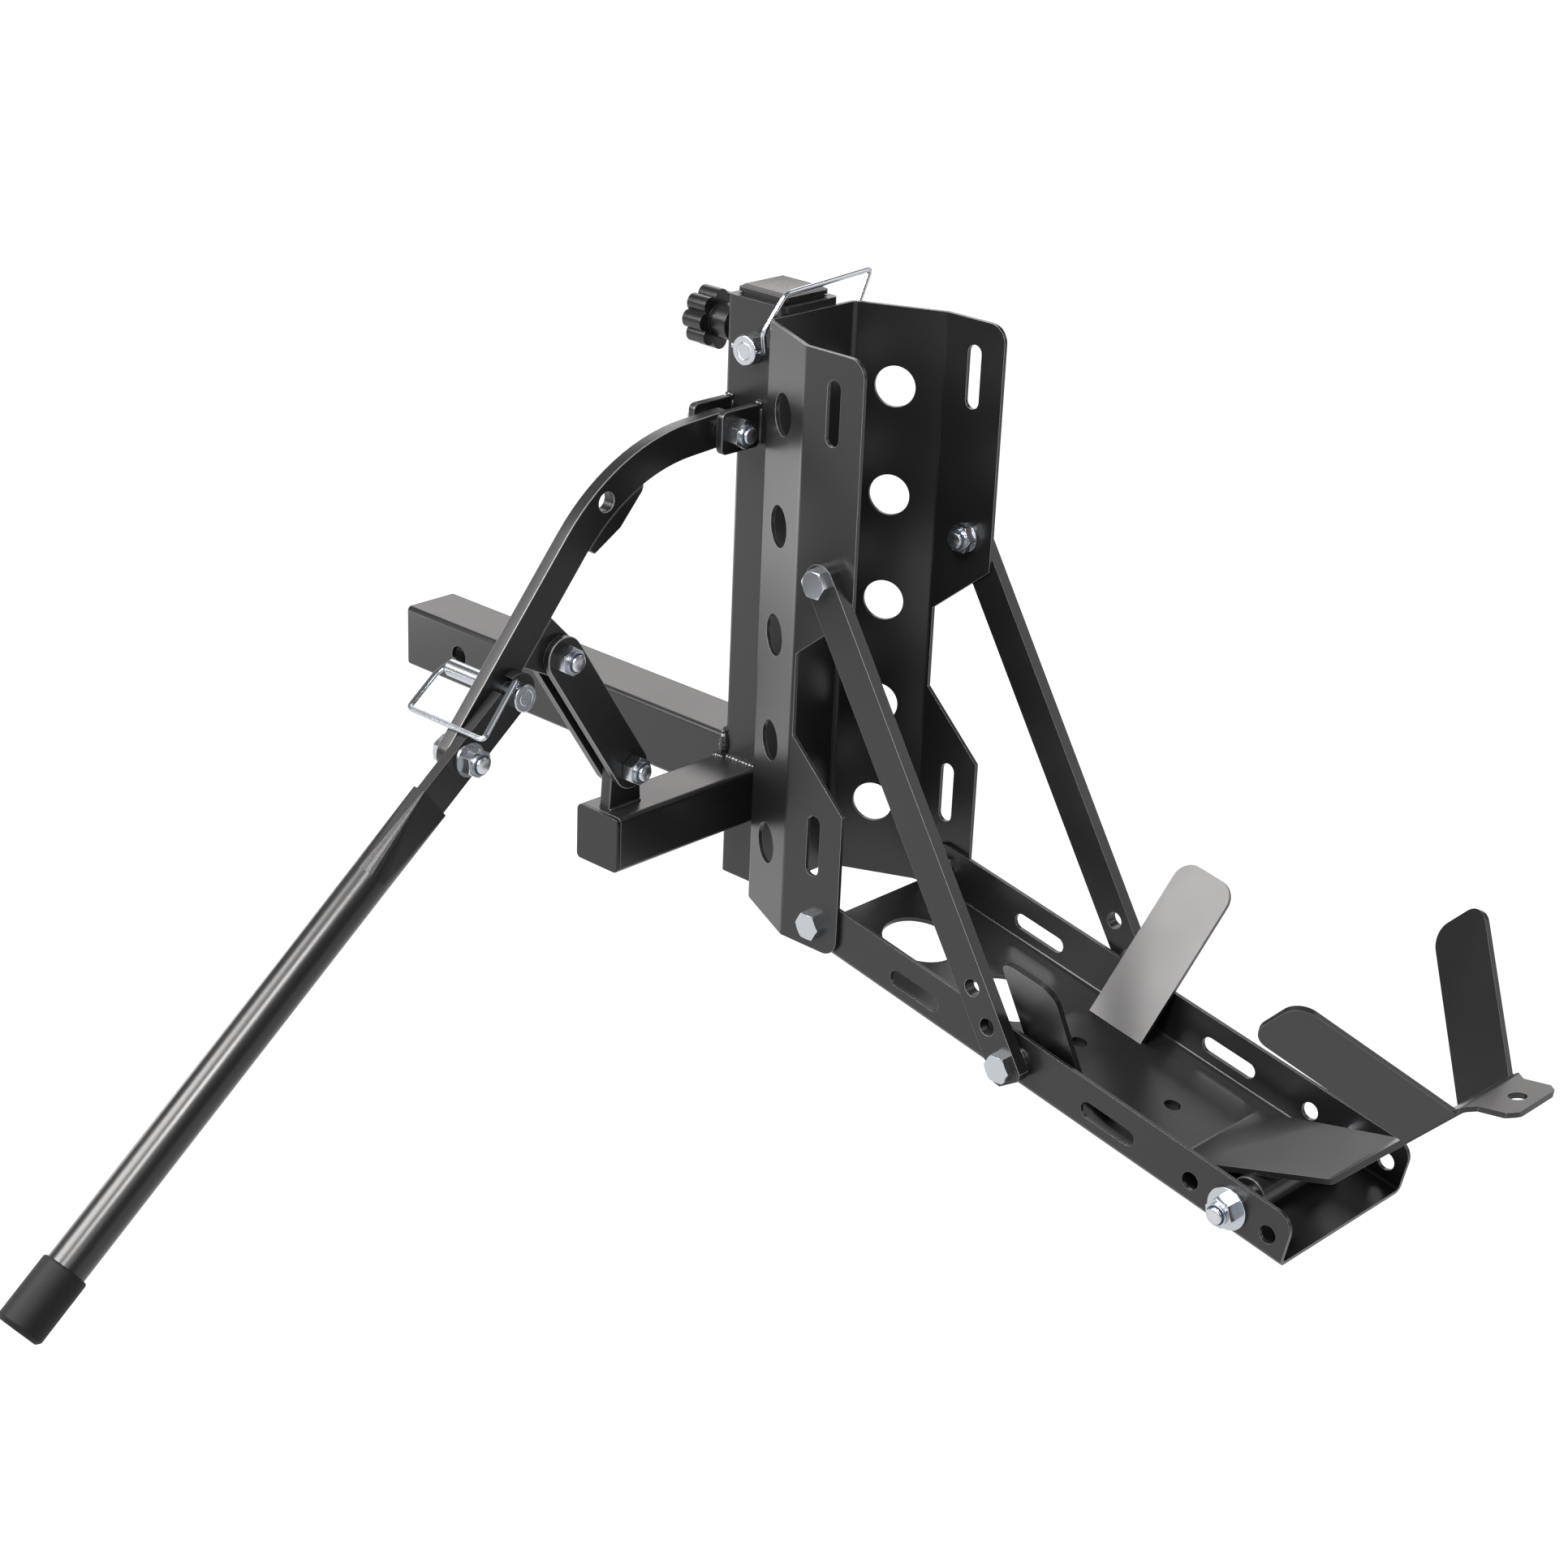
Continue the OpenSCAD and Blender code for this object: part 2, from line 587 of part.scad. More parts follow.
// Sleeve and what it carries
module sleeve() color(black) at_post() difference() {
    hole = post_w + 2 * slide_gap;
    translate([0, 0, sleeve_z]) linear_extrude(sleeve_l) difference() {
        round_rect([-sleeve_half, -sleeve_half], [sleeve_half, sleeve_half], 4);
        square(hole, center = true);
    }
    translate([0, -sleeve_w, lock_z]) along_y() cylinder(r = lock_r + loose, h = 2 * sleeve_w);
    translate([-sleeve_w, 0, clamp_z]) along_x() cylinder(r = screw_r + loose, h = sleeve_w);
}
clamp_z = lock_z + 4;
screw_r = 5;
boss_l = 9;
module clevis_ears() color(black) at_post() for (side = [-1, 1])
    plate_x(lever_x + side * (clevis_gap / 2 + ear_t / 2) - ear_t / 2, ear_t) difference() {
        round_rect([-clevis_y - 15, clevis_z - 15], [-sleeve_half, clevis_z + 16], 5);
        translate(clevis_pt) circle(bolt_r + loose);
    }
module clevis_bolt() color(zinc) at_post() cross_bolt(clevis_pt, ear_out);
module clevis_nut() color(zinc) at_post() cross_nut(clevis_pt, ear_out);

module clamp_boss() color(black) at_post() translate([-sleeve_half - boss_l, 0, clamp_z]) along_x()
difference() {
    cylinder(r = 10, h = boss_l);
    translate([0, 0, -1]) cylinder(r = screw_r + running, h = boss_l + 2);
}
knob_t = 18;
hub_t = 16;
knob_x = sleeve_half + boss_l + 23;
module clamp_screw() color(zinc) at_post() translate([-knob_x, 0, clamp_z]) along_x()
    cylinder(r = screw_r, h = knob_x - post_half - 0.3);
module clamp_knob() color(plastic) at_post() translate([-knob_x - knob_t, 0, clamp_z]) along_x() {
    lobe_r = knob_r * 0.3;
    difference() {
        union() {
            linear_extrude(knob_t) union() {
                circle(knob_r * 0.78);
                for (i = [0:knob_lobes - 1]) rotate(i * 360 / knob_lobes)
                    translate([knob_r - lobe_r, 0]) circle(lobe_r);
            }
            cylinder(r = knob_r * 0.6, h = knob_t + hub_t);
        }
        translate([0, 0, knob_t]) cylinder(r = screw_r, h = hub_t + 1);
        translate([0, 0, -1]) cylinder(r = knob_r * 0.3, h = 4);
    }
}

lock_far = 44;
lock_near = sleeve_half + 0.3;
module top_lock_pin() color(zinc) at_post() translate([0, -lock_near, lock_z]) rotate([90, 0, 0])
difference() {
    union() {
        hex(2 * lock_r + 7, head_l);
        translate([0, 0, -lock_far - lock_near]) cylinder(r = lock_r, h = lock_far + lock_near + eps);
    }
    translate([0, 0, head_l / 2]) rotate([0, 90, 0]) cylinder(r = wire_r + loose, h = 60, center = true);
}
// Wire bail of the top pin: through the head, over the top beside the plug, behind the pin's far end
module top_bail() color(zinc) at_post() {
    y0 = -lock_near - head_l / 2;
    x0 = (lock_r + 3.5) / cos(30) + 2 * wire_r + 0.5;
    x1 = post_half + 1.5 + wire_r + 0.5;
    y1 = lock_far + wire_r + 2.5;
    over = chan_top + wire_r + 12;
    wire([[-x0, y0, lock_z], [x0, y0, lock_z], [x1 - 3, y0 - 10, lock_z + 18], [x1, y0 + 8, over],
          [x1, y1 + 13, over + 5], [x1, y1, lock_z + 20], [x1, y1, lock_z - 2], [-6, y1, lock_z - 2]]);
}

// Wheel channel
chan_path = bent([[flange_x, -chan_half], [bend_x, -chan_half], [web_x, -web_half],
                  [web_x, web_half], [bend_x, chan_half], [flange_x, chan_half]], 7);
module wing_cut() {
    far = flange_x + 20;
    // Waist between the wings
    polygon([[bend_x + 3, waist_top], [flange_x + 1, wing_low - 6], [far, wing_low - 6],
             [far, wing_top2], [flange_x + 1, wing_top2], [bend_x + 3, waist_low]]);
    // Rounded corners
    for (z = [chan_top, -chan_drop], x = [flange_x]) corner_cut([x, z], [1, z > 0 ? 1 : -1]);
}
module corner_cut(p, d) translate(p) scale([d.x, d.y]) difference() {
    translate([-wing_r, -wing_r]) square(wing_r + 1);
    translate([-wing_r, -wing_r]) circle(wing_r);
}
module wheel_channel() color(black) at_post() difference() {
    translate([0, 0, -chan_drop]) linear_extrude(chan_top + chan_drop) strip(chan_path, sheet);
    both_sides() {
        plate_y(chan_half, 2 * sheet) {
            wing_cut();
            for (z = slot_zs) translate([slot_x, z]) rotate(90) slot2d(slot_l, slot_w);
            for (p = [brace_top_pt, tray_pt]) translate(p) circle(small_bolt_r + loose);
        }
        for (i = [0:light_n - 1])
            translate([light_x, wall_y(light_x), light_top - i * light_step])
                rotate([0, 0, wall_turn]) along_y() cylinder(r = light_r, h = 30, center = true);
    }
}

// Wheel tray, in the tray's own frame
tray_half = tray_w / 2 - sheet / 2;
tray_top = floor_n + tray_h;
tray_path = bent([[-tray_half, tray_top], [-tray_half, floor_n + sheet / 2],
                  [tray_half, floor_n + sheet / 2], [tray_half, tray_top]], tray_bend);
module wheel_tray() color(black) on_tray() difference() {
    translate([-tray_back, 0, 0]) rotate([90, 0, 90])
        linear_extrude(tray_l + tray_back) strip(tray_path, sheet);
    both_sides() plate_y(tray_half, 2 * sheet) {
        for (s = tray_slots) translate([s, 0]) slot2d(slot_l, slot_w);
        for (s = tray_holes) translate([s, 0]) circle(axle_room);
        circle(small_bolt_r + loose);
        translate(foot_pt) circle(small_bolt_r + loose);
        translate([axle_at, 0]) circle(bolt_r + loose);
        corner_cut([tray_l, tray_top], [1, 1]);
        corner_cut([-tray_back, tray_top], [-1, 1]);
    }
    for (s = floor_holes) translate([s, 0, floor_n - 1]) cylinder(r = floor_hole_r, h = sheet + 2);
}

// Braces stand outside the wings, round at the top, square with clipped corners at the foot
brace_clip = 4;
module brace() at_post() plate_y(-brace_in - brace_t / 2, brace_t) {
    run = unit(brace_foot_pt - brace_top_pt);
    side = [run.y, -run.x];
    half = brace_w / 2;
    foot_end = [for (e = [[half - brace_clip, half], [half, half - brace_clip],
                          [half, brace_clip - half], [half - brace_clip, -half]])
        brace_foot_pt + e.x * run + e.y * side];
    difference() {
        polygon(concat(half_round(brace_top_pt, half, heading(brace_foot_pt, brace_top_pt) - 90), foot_end));
        translate(brace_top_pt) circle(small_bolt_r + loose);
        for (i = [0:2]) translate(brace_foot_pt - i * brace_step * run) circle(small_bolt_r + loose);
    }
}
module near_brace() color(black) brace();
module far_brace() color(black) mirror([0, 1, 0]) brace();

// Bolts along Y: head outside at depth y, passing inwards by l
module pair_bolts(pt, y, l) at_post() both_sides()
    translate([pt.x, -y, pt.y]) rotate([90, 0, 0]) bolt(small_bolt_r, l);
module pair_nuts(pt, y) at_post() both_sides()
    translate([pt.x, -y, pt.y]) along_y() lock_nut(small_bolt_r, small_bolt_r * 1.8);
brace_face = brace_in + brace_t;
chan_in = chan_half - sheet / 2;
tray_in = tray_w / 2 - sheet;
nut_grip = small_bolt_r * 2;
module brace_top_bolts() color(zinc) pair_bolts(brace_top_pt, brace_face, brace_face - chan_in + nut_grip);
module brace_top_nuts() color(zinc) pair_nuts(brace_top_pt, chan_in);
module brace_foot_bolts() color(zinc)
    pair_bolts(brace_foot_pt, brace_face, brace_face - tray_in + nut_grip);
module brace_foot_nuts() color(zinc) pair_nuts(brace_foot_pt, tray_in);
module brace_spacers() color(zinc) at_post() both_sides()
    translate([brace_foot_pt.x, -brace_in, brace_foot_pt.y]) along_y()
        washer(small_bolt_r, small_bolt_r * 2, brace_in - tray_w / 2);
module tray_bolts() color(zinc) pair_bolts(tray_pt, brace_in, brace_in - tray_in + nut_grip);
module tray_nuts() color(zinc) pair_nuts(tray_pt, tray_in);

// Cradle axle: head on the far side, washer and nut on the near side
axle_out = tray_w / 2 + washer_t;
module cradle_axle() color(zinc) on_tray() translate([axle_at, axle_out, 0]) rotate([-90, 0, 0])
    bolt(bolt_r, 2 * axle_out + bolt_r * 2.2);
module axle_washers() color(zinc) on_tray() for (side = [-1, 1])
    translate([axle_at, side * tray_w / 2, 0]) rotate([-side * 90, 0, 0])
        washer(bolt_r, bolt_r * 2.5, washer_t);
module axle_nut() color(zinc) on_tray() translate([axle_at, -axle_out, 0]) rotate([90, 0, 0])
    lock_nut(bolt_r);

// Cradle: one sheet bent along its path, trimmed in width, with flared tabs at both ends
module cradle_width() polygon(concat(width_line, [for (p = flipped(width_line)) [p.x, -p.y]]));
width_line = [[cradle_start - 5, plate_half], [cradle_start + tab_w + 2 * tab_in, plate_half],
              [cradle_start + tab_w + ramp_flare, ramp_half], [cradle_bend, ramp_half],
              [ramp_pt.x, ramp_end_half],
              [ramp_pt.x + 14, rest_half], [rest_pt.x - 1, rest_half], [rest_pt.x + 7, lip_half],
              [lip_pt.x - 6, lip_half], [lip_pt.x - 1, lip_half - 5], [lip_pt.x + 3, lip_half - 12]];
// Pair of tabs: hinged on the plate's edge lines at p, on a plate turned up by a, flaring outwards
module tabs(p, a, half, flare, stagger = 0) translate([p.x, 0, p.y]) rotate([0, -a, 0]) for (near = [0, 1])
    mirror([0, near, 0]) translate([near * stagger - tab_w, half - cradle_t / 2, 0])
        rotate([90 - flare, 0, 0]) translate([0, 0, -cradle_t / 2]) linear_extrude(cradle_t) {
            square([tab_w, tab_l - tab_r]);
            translate([tab_r, 0]) square([tab_w - 2 * tab_r, tab_l]);
            for (x = [tab_r, tab_w - tab_r]) translate([x, tab_l - tab_r]) circle(tab_r);
        }
plate_holes = [cradle_start + 26, cradle_start + 110];
lip_hole_r = 6;
module wheel_cradle() color(black) on_tray() difference() {
    union() {
        intersection() {
            plate_y(0, 2 * ramp_half) strip(bent(cradle_path, 8), cradle_t);
            translate([0, 0, -tray_l]) linear_extrude(2 * tray_l) cradle_width();
        }
        tabs([cradle_start + tab_w + tab_in, cradle_n], 0, plate_half, tab_flare, tab_stagger);
        tabs(step(rest_pt, -tab_in, rest_rise), rest_rise, rest_half, rest_flare);
    }
    for (s = plate_holes) translate([s, 0, cradle_n]) cylinder(r = lip_hole_r, h = 20, center = true);
    translate([(rest_pt.x + lip_pt.x) / 2 + 3, 0, (rest_pt.y + lip_pt.y) / 2]) rotate([0, -lip_rise, 0])
        cylinder(r = lip_hole_r, h = 20, center = true);
}
module cradle_tube() color(black) on_tray() translate([axle_at, 0, 0]) along_y() difference() {
    cylinder(r = tube_seat, h = 2 * ramp_half, center = true);
    cylinder(r = bolt_r + running, h = 4 * ramp_half, center = true);
}

hitch_bar();
post();
post_plug();
side_arm();
arm_plug();
arm_lug();
lug_bolt();
lug_nut();
sleeve();
clevis_ears();
clevis_bolt();
clevis_nut();
clevis_spacers();
clamp_boss();
top_lock_pin();
wheel_channel();
wheel_tray();
near_brace();
far_brace();
brace_top_bolts();
brace_top_nuts();
brace_foot_bolts();
brace_foot_nuts();
brace_spacers();
tray_bolts();
tray_nuts();
cradle_axle();
axle_washers();
axle_nut();
clamp_knob();
clamp_screw();
top_bail();
lever_bar();
fulcrum_boss();
stow_plate();
handle_bolt();
handle_nut();
near_link();
far_link();
fulcrum_bolt();
fulcrum_nut();
handle_tang();
handle_tube();
handle_cap();
handle_lock_pin();
handle_bail();
wheel_cradle();
cradle_tube();
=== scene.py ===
# %% [markdown]
# Hitch motorcycle carrier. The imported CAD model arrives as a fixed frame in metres,
# with its origin in the hitch-pin hole, +X towards the wheel tray and +Z up.
# The solids already have the right shapes, so this lesson adds what a solid model lacks:
# softened edges with a thinner coat, weld beads, bolt threads, nylon rings in the lock nuts,
# round faces on the lock pins, and finishes.

# %% Load the frame
import json
import math

import bmesh
import bpy
from mathutils import Matrix, Vector


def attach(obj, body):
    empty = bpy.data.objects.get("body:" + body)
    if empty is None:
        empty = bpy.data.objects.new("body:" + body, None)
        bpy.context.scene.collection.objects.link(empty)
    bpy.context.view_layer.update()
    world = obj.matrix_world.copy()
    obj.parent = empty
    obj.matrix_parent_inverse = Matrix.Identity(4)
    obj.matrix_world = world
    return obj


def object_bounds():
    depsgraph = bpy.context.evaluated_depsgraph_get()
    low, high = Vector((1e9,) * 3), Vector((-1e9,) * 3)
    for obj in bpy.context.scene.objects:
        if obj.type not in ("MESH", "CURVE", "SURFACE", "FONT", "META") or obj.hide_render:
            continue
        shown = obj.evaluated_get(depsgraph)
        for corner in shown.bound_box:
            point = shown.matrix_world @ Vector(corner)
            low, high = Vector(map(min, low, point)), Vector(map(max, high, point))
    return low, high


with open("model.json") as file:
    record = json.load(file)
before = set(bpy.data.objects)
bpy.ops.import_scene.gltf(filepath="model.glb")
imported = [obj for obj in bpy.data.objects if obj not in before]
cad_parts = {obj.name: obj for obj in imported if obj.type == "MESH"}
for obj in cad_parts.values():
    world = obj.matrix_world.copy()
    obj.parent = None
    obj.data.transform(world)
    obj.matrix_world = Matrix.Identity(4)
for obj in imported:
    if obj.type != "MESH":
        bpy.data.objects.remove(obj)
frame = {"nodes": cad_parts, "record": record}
cad_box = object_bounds()
nodes = frame["nodes"]

# %% [markdown]
# The camera comes from a fit of the photograph: about forty known points gave its place,
# its three directions and its lens. Blender's camera looks along its own -Z, so the matrix
# takes the right, up and backward directions as columns.

# %% Camera
CAMERA_AT = Vector((1.7454, -1.5319, 0.8793))
CAMERA_RIGHT = Vector((0.7242, 0.6884, 0.0393))
CAMERA_UP = Vector((-0.2971, 0.2601, 0.9187))
FOCAL_PX = 3760.0
IMAGE_PX = 1932.0
SENSOR_MM = 36.0

scene = bpy.context.scene
camera_data = bpy.data.cameras.new("photo_camera")
camera_data.sensor_width = SENSOR_MM
camera_data.lens = FOCAL_PX / IMAGE_PX * SENSOR_MM
camera = bpy.data.objects.new("photo_camera", camera_data)
scene.collection.objects.link(camera)
right = CAMERA_RIGHT.normalized()
back = right.cross(CAMERA_UP).normalized()
up = back.cross(right)
turn = Matrix((right, up, back)).transposed()
camera.matrix_world = Matrix.Translation(CAMERA_AT) @ turn.to_4x4()
scene.camera = camera
print("lens", round(camera_data.lens, 2), "mm")

# %% [markdown]
# Small helpers for shader nodes keep each material short. Every texture reads object
# coordinates: a CAD node's object sits at the origin, so one grain runs over all pieces
# at the same scale, in metres.

# %% Node helpers
def set_inputs(node, values):
    """Sets a node's input sockets by name, with _ for each space."""
    for name, value in values.items():
        node.inputs[name.replace("_", " ")].default_value = value


def add_node(tree, kind, **values):
    """A new node, with its input sockets set by name."""
    made = tree.nodes.new(kind)
    set_inputs(made, values)
    return made


def math_node(tree, operation):
    made = tree.nodes.new("ShaderNodeMath")
    made.operation = operation
    return made


def link(tree, source, target):
    tree.links.new(source, target)


def new_group(name, inputs, outputs):
    """A shader node group with float inputs, and outputs given as (name, socket type)."""
    group = bpy.data.node_groups.new(name, "ShaderNodeTree")
    for label, default in inputs:
        socket = group.interface.new_socket(label, in_out="INPUT", socket_type="NodeSocketFloat")
        socket.default_value = default
    for label, kind in outputs:
        group.interface.new_socket(label, in_out="OUTPUT", socket_type=kind)
    return group, group.nodes.new("NodeGroupInput"), group.nodes.new("NodeGroupOutput")


def place_group(tree, group, **values):
    """A shared effect placed in a material, with its own values."""
    placed = tree.nodes.new("ShaderNodeGroup")
    placed.node_tree = group
    set_inputs(placed, values)
    return placed


print("node helpers ready")

# %% [markdown]
# Powder coat melts into a skin with faint orange peel, and every moulded part has a fine
# grain too. One group makes that relief: a broad swell for the peel, and a sharp speckle
# for the grain. Height goes to a Bump node in the material.

# %% Shared effect: surface relief
relief, relief_in, relief_out = new_group(
    "SurfaceRelief",
    [("Peel Scale", 420.0), ("Grain Scale", 2600.0), ("Grain Share", 0.35)],
    [("Height", "NodeSocketFloat")],
)
where = relief.nodes.new("ShaderNodeTexCoord")
peel = add_node(relief, "ShaderNodeTexNoise", Detail=2.0, Roughness=0.45)
grain = add_node(relief, "ShaderNodeTexNoise", Detail=3.0, Roughness=0.6)
mixed = relief.nodes.new("ShaderNodeMix")
for texture, scale in ((peel, "Peel Scale"), (grain, "Grain Scale")):
    link(relief, where.outputs["Object"], texture.inputs["Vector"])
    link(relief, relief_in.outputs[scale], texture.inputs["Scale"])
link(relief, relief_in.outputs["Grain Share"], mixed.inputs["Factor"])
link(relief, peel.outputs["Fac"], mixed.inputs["A"])
link(relief, grain.outputs["Fac"], mixed.inputs["B"])
link(relief, mixed.outputs["Result"], relief_out.inputs["Height"])
print("group", relief.name)

# %% [markdown]
# A new part from its box is clean, yet no finish is even: the coat is a little duller in
# patches, and a breath of dust lies on what faces up. This group puts out a roughness that
# drifts about its base, and a mask for the dust, from the surface's true normal.

# %% Shared effect: drift and dust
NOISE_MIDDLE = 0.5
DUST_FROM, DUST_FULL = 0.35, 1.0

drift, drift_in, drift_out = new_group(
    "FinishDrift",
    [("Base Roughness", 0.4), ("Spread", 0.1), ("Patch Scale", 14.0), ("Dust", 0.1)],
    [("Roughness", "NodeSocketFloat"), ("Dust Mask", "NodeSocketFloat")],
)
where = drift.nodes.new("ShaderNodeTexCoord")
patches = add_node(drift, "ShaderNodeTexNoise", Detail=4.0, Roughness=0.6)
centred = math_node(drift, "SUBTRACT")
centred.inputs[1].default_value = NOISE_MIDDLE
spread = math_node(drift, "MULTIPLY_ADD")
link(drift, where.outputs["Object"], patches.inputs["Vector"])
link(drift, drift_in.outputs["Patch Scale"], patches.inputs["Scale"])
link(drift, patches.outputs["Fac"], centred.inputs[0])
link(drift, centred.outputs[0], spread.inputs[0])
link(drift, drift_in.outputs["Spread"], spread.inputs[1])
link(drift, drift_in.outputs["Base Roughness"], spread.inputs[2])
link(drift, spread.outputs[0], drift_out.inputs["Roughness"])
facing = drift.nodes.new("ShaderNodeNewGeometry")
axes = drift.nodes.new("ShaderNodeSeparateXYZ")
upward = add_node(drift, "ShaderNodeMapRange", From_Min=DUST_FROM, From_Max=DUST_FULL)
dusty = math_node(drift, "MULTIPLY")
dose = math_node(drift, "MULTIPLY")
link(drift, facing.outputs["Normal"], axes.inputs[0])
link(drift, axes.outputs["Z"], upward.inputs["Value"])
link(drift, upward.outputs[0], dusty.inputs[0])
link(drift, patches.outputs["Fac"], dusty.inputs[1])
link(drift, dusty.outputs[0], dose.inputs[0])
link(drift, drift_in.outputs["Dust"], dose.inputs[1])
link(drift, dose.outputs[0], drift_out.inputs["Dust Mask"])
print("group", drift.name)

# %% [markdown]
# Each finish is one Principled shader with both groups in front of it. The colour mixes
# towards a pale dust by the mask. What is the same all over, such as Metallic or the
# specular level, is set on the shader itself, where an exporter can read it.

# %% Finish builder
DUST = (0.22, 0.215, 0.205, 1.0)
BUMP_DEPTH = 0.0002


def finish(name, colour, rough, spread_by, dust_by, peel_scale, grain_scale, grain_share, bump,
           **shader):
    """A material with relief, drifting roughness and a little dust."""
    material = bpy.data.materials.new(name)
    material.use_nodes = True
    tree = material.node_tree
    surface = tree.nodes["Principled BSDF"]
    set_inputs(surface, shader)
    drifting = place_group(tree, drift, Base_Roughness=rough, Spread=spread_by, Dust=dust_by)
    raised = place_group(tree, relief, Peel_Scale=peel_scale, Grain_Scale=grain_scale,
                         Grain_Share=grain_share)
    tint = tree.nodes.new("ShaderNodeMix")
    tint.data_type = "RGBA"
    tint.inputs["A"].default_value = (*colour, 1.0)
    tint.inputs["B"].default_value = DUST
    bumped = add_node(tree, "ShaderNodeBump", Strength=bump, Distance=BUMP_DEPTH)
    link(tree, drifting.outputs["Dust Mask"], tint.inputs["Factor"])
    link(tree, tint.outputs["Result"], surface.inputs["Base Color"])
    link(tree, drifting.outputs["Roughness"], surface.inputs["Roughness"])
    link(tree, raised.outputs["Height"], bumped.inputs["Height"])
    link(tree, bumped.outputs["Normal"], surface.inputs["Normal"])
    print("finish", name)
    return material


# %% [markdown]
# The black is a satin powder coat, a dark neutral with a soft sheen; its edges carry a paler
# colour as a painted highlight. Zinc plate on bolts, pins and wires is bright and cool with a fine
# scratch.
# Plugs and knob are moulded plastic, the grip cap is rubber, and the lock nuts hold a
# slate-blue nylon ring. One builder with named values shows at a glance how they differ.

# %% Finishes
powder_coat = finish(
    "satin_black_powder_coat", (0.006, 0.006, 0.0064), rough=0.3, spread_by=0.1, dust_by=0.06,
    peel_scale=380.0, grain_scale=2400.0, grain_share=0.3, bump=0.2, Specular_IOR_Level=0.42)
# Painted highlight: a paler coat colour for rounded edges, where light runs along them.
pale_edge_highlight = finish(
    "painted_highlight_on_edges", (0.048, 0.047, 0.046), rough=0.3, spread_by=0.16, dust_by=0.06,
    peel_scale=380.0, grain_scale=2400.0, grain_share=0.5, bump=0.25, Specular_IOR_Level=0.5)
# Painted highlight, paler still, for the rounded edges of sheared bar and sheet.
pale_shear_highlight = finish(
    "painted_highlight_on_sheared_edges", (0.15, 0.147, 0.144), rough=0.3, spread_by=0.16, dust_by=0.06,
    peel_scale=380.0, grain_scale=2400.0, grain_share=0.5, bump=0.25, Specular_IOR_Level=0.6)
weld_coat = finish(
    "coated_weld_bead", (0.011, 0.011, 0.0115), rough=0.26, spread_by=0.16, dust_by=0.03,
    peel_scale=700.0, grain_scale=2400.0, grain_share=0.2, bump=0.4, Specular_IOR_Level=0.6)
zinc_plate = finish(
    "bright_zinc_plate", (0.43, 0.455, 0.485), rough=0.24, spread_by=0.14, dust_by=0.02,
    peel_scale=900.0, grain_scale=3200.0, grain_share=0.6, bump=0.12, Metallic=1.0)
thread_zinc = finish(
    "zinc_thread", (0.5, 0.51, 0.53), rough=0.28, spread_by=0.14, dust_by=0.02,
    peel_scale=900.0, grain_scale=3200.0, grain_share=0.6, bump=0.12, Metallic=1.0)
moulded_plastic = finish(
    "moulded_black_plastic", (0.005, 0.005, 0.0054), rough=0.27, spread_by=0.1, dust_by=0.05,
    peel_scale=500.0, grain_scale=1800.0, grain_share=0.7, bump=0.2, Specular_IOR_Level=0.36)
grip_rubber = finish(
    "grip_rubber", (0.007, 0.007, 0.0075), rough=0.55, spread_by=0.1, dust_by=0.05,
    peel_scale=300.0, grain_scale=1500.0, grain_share=0.8, bump=0.4, Specular_IOR_Level=0.12)
nylon_ring = finish(
    "slate_blue_nylon", (0.035, 0.06, 0.1), rough=0.4, spread_by=0.08, dust_by=0.02,
    peel_scale=600.0, grain_scale=1800.0, grain_share=0.5, bump=0.15)

# %% [markdown]
# Every CAD node names its material slot, and every slot has one finish. Painting by slot
# keeps all bolts alike and all coated steel alike, with no list of pieces to keep up.

# %% Paint the CAD nodes
SLOT_FINISH = {
    "black_coat": powder_coat,
    "zinc": zinc_plate,
    "black_plastic": moulded_plastic,
    "rubber": grip_rubber,
}
for part in frame["record"]["subparts"]:
    piece = nodes[part["node"]]
    piece.data.materials.clear()
    piece.data.materials.append(SLOT_FINISH[part["material_slot"]])
print("painted", len(nodes), "nodes")

# %% [markdown]
# A coated edge is never knife-sharp: it turns over with a small radius that catches a line
# of light. Modifiers do this without touching the CAD mesh. Weld joins the split corners,
# Decimate merges the triangles of each flat into one face, Bevel rounds only edges that
# turn sharply, and Weighted Normal keeps the flats flat. On coated steel the rounded faces
# take a second, paler material. Powder is thinner there, but the paleness is a painted highlight for
# the line of light an edge catches, palest on flat bar and sheet, where shears left the sharpest
# corners.

# %% Soft edges
EDGE_R = {"black_coat": 0.0009, "zinc": 0.0004, "black_plastic": 0.001, "rubber": 0.0014}
BAR_EDGE_R = 0.0016
FLAT_BARS = {"near_brace", "far_brace", "lever_bar", "near_link", "far_link", "handle_tang"}
SHEARED = FLAT_BARS | {"wheel_channel", "wheel_tray", "wheel_cradle"}
LEFT_SHARP = {"top_bail", "handle_bail", "handle_tube"}
SAME_POINT = 0.00002
SAME_FLAT = math.radians(0.5)
SHARP_TURN = math.radians(38.0)
ROUND_STEPS = 2


def soften(piece, radius, round_highlight_finish=None):
    """Rounds a node's sharp edges, and paints a highlight colour on the rounds if a material is given
    for them.
    """
    joined = piece.modifiers.new("join_corners", "WELD")
    joined.merge_threshold = SAME_POINT
    merged = piece.modifiers.new("merge_flats", "DECIMATE")
    merged.decimate_type = "DISSOLVE"
    merged.angle_limit = SAME_FLAT
    rounded = piece.modifiers.new("round_edges", "BEVEL")
    rounded.width = radius
    rounded.segments = ROUND_STEPS
    rounded.limit_method = "ANGLE"
    rounded.angle_limit = SHARP_TURN
    rounded.use_clamp_overlap = True
    rounded.harden_normals = False
    if round_highlight_finish:
        piece.data.materials.append(round_highlight_finish)
        rounded.material = len(piece.data.materials) - 1
    flats = piece.modifiers.new("keep_flats", "WEIGHTED_NORMAL")
    flats.keep_sharp = False


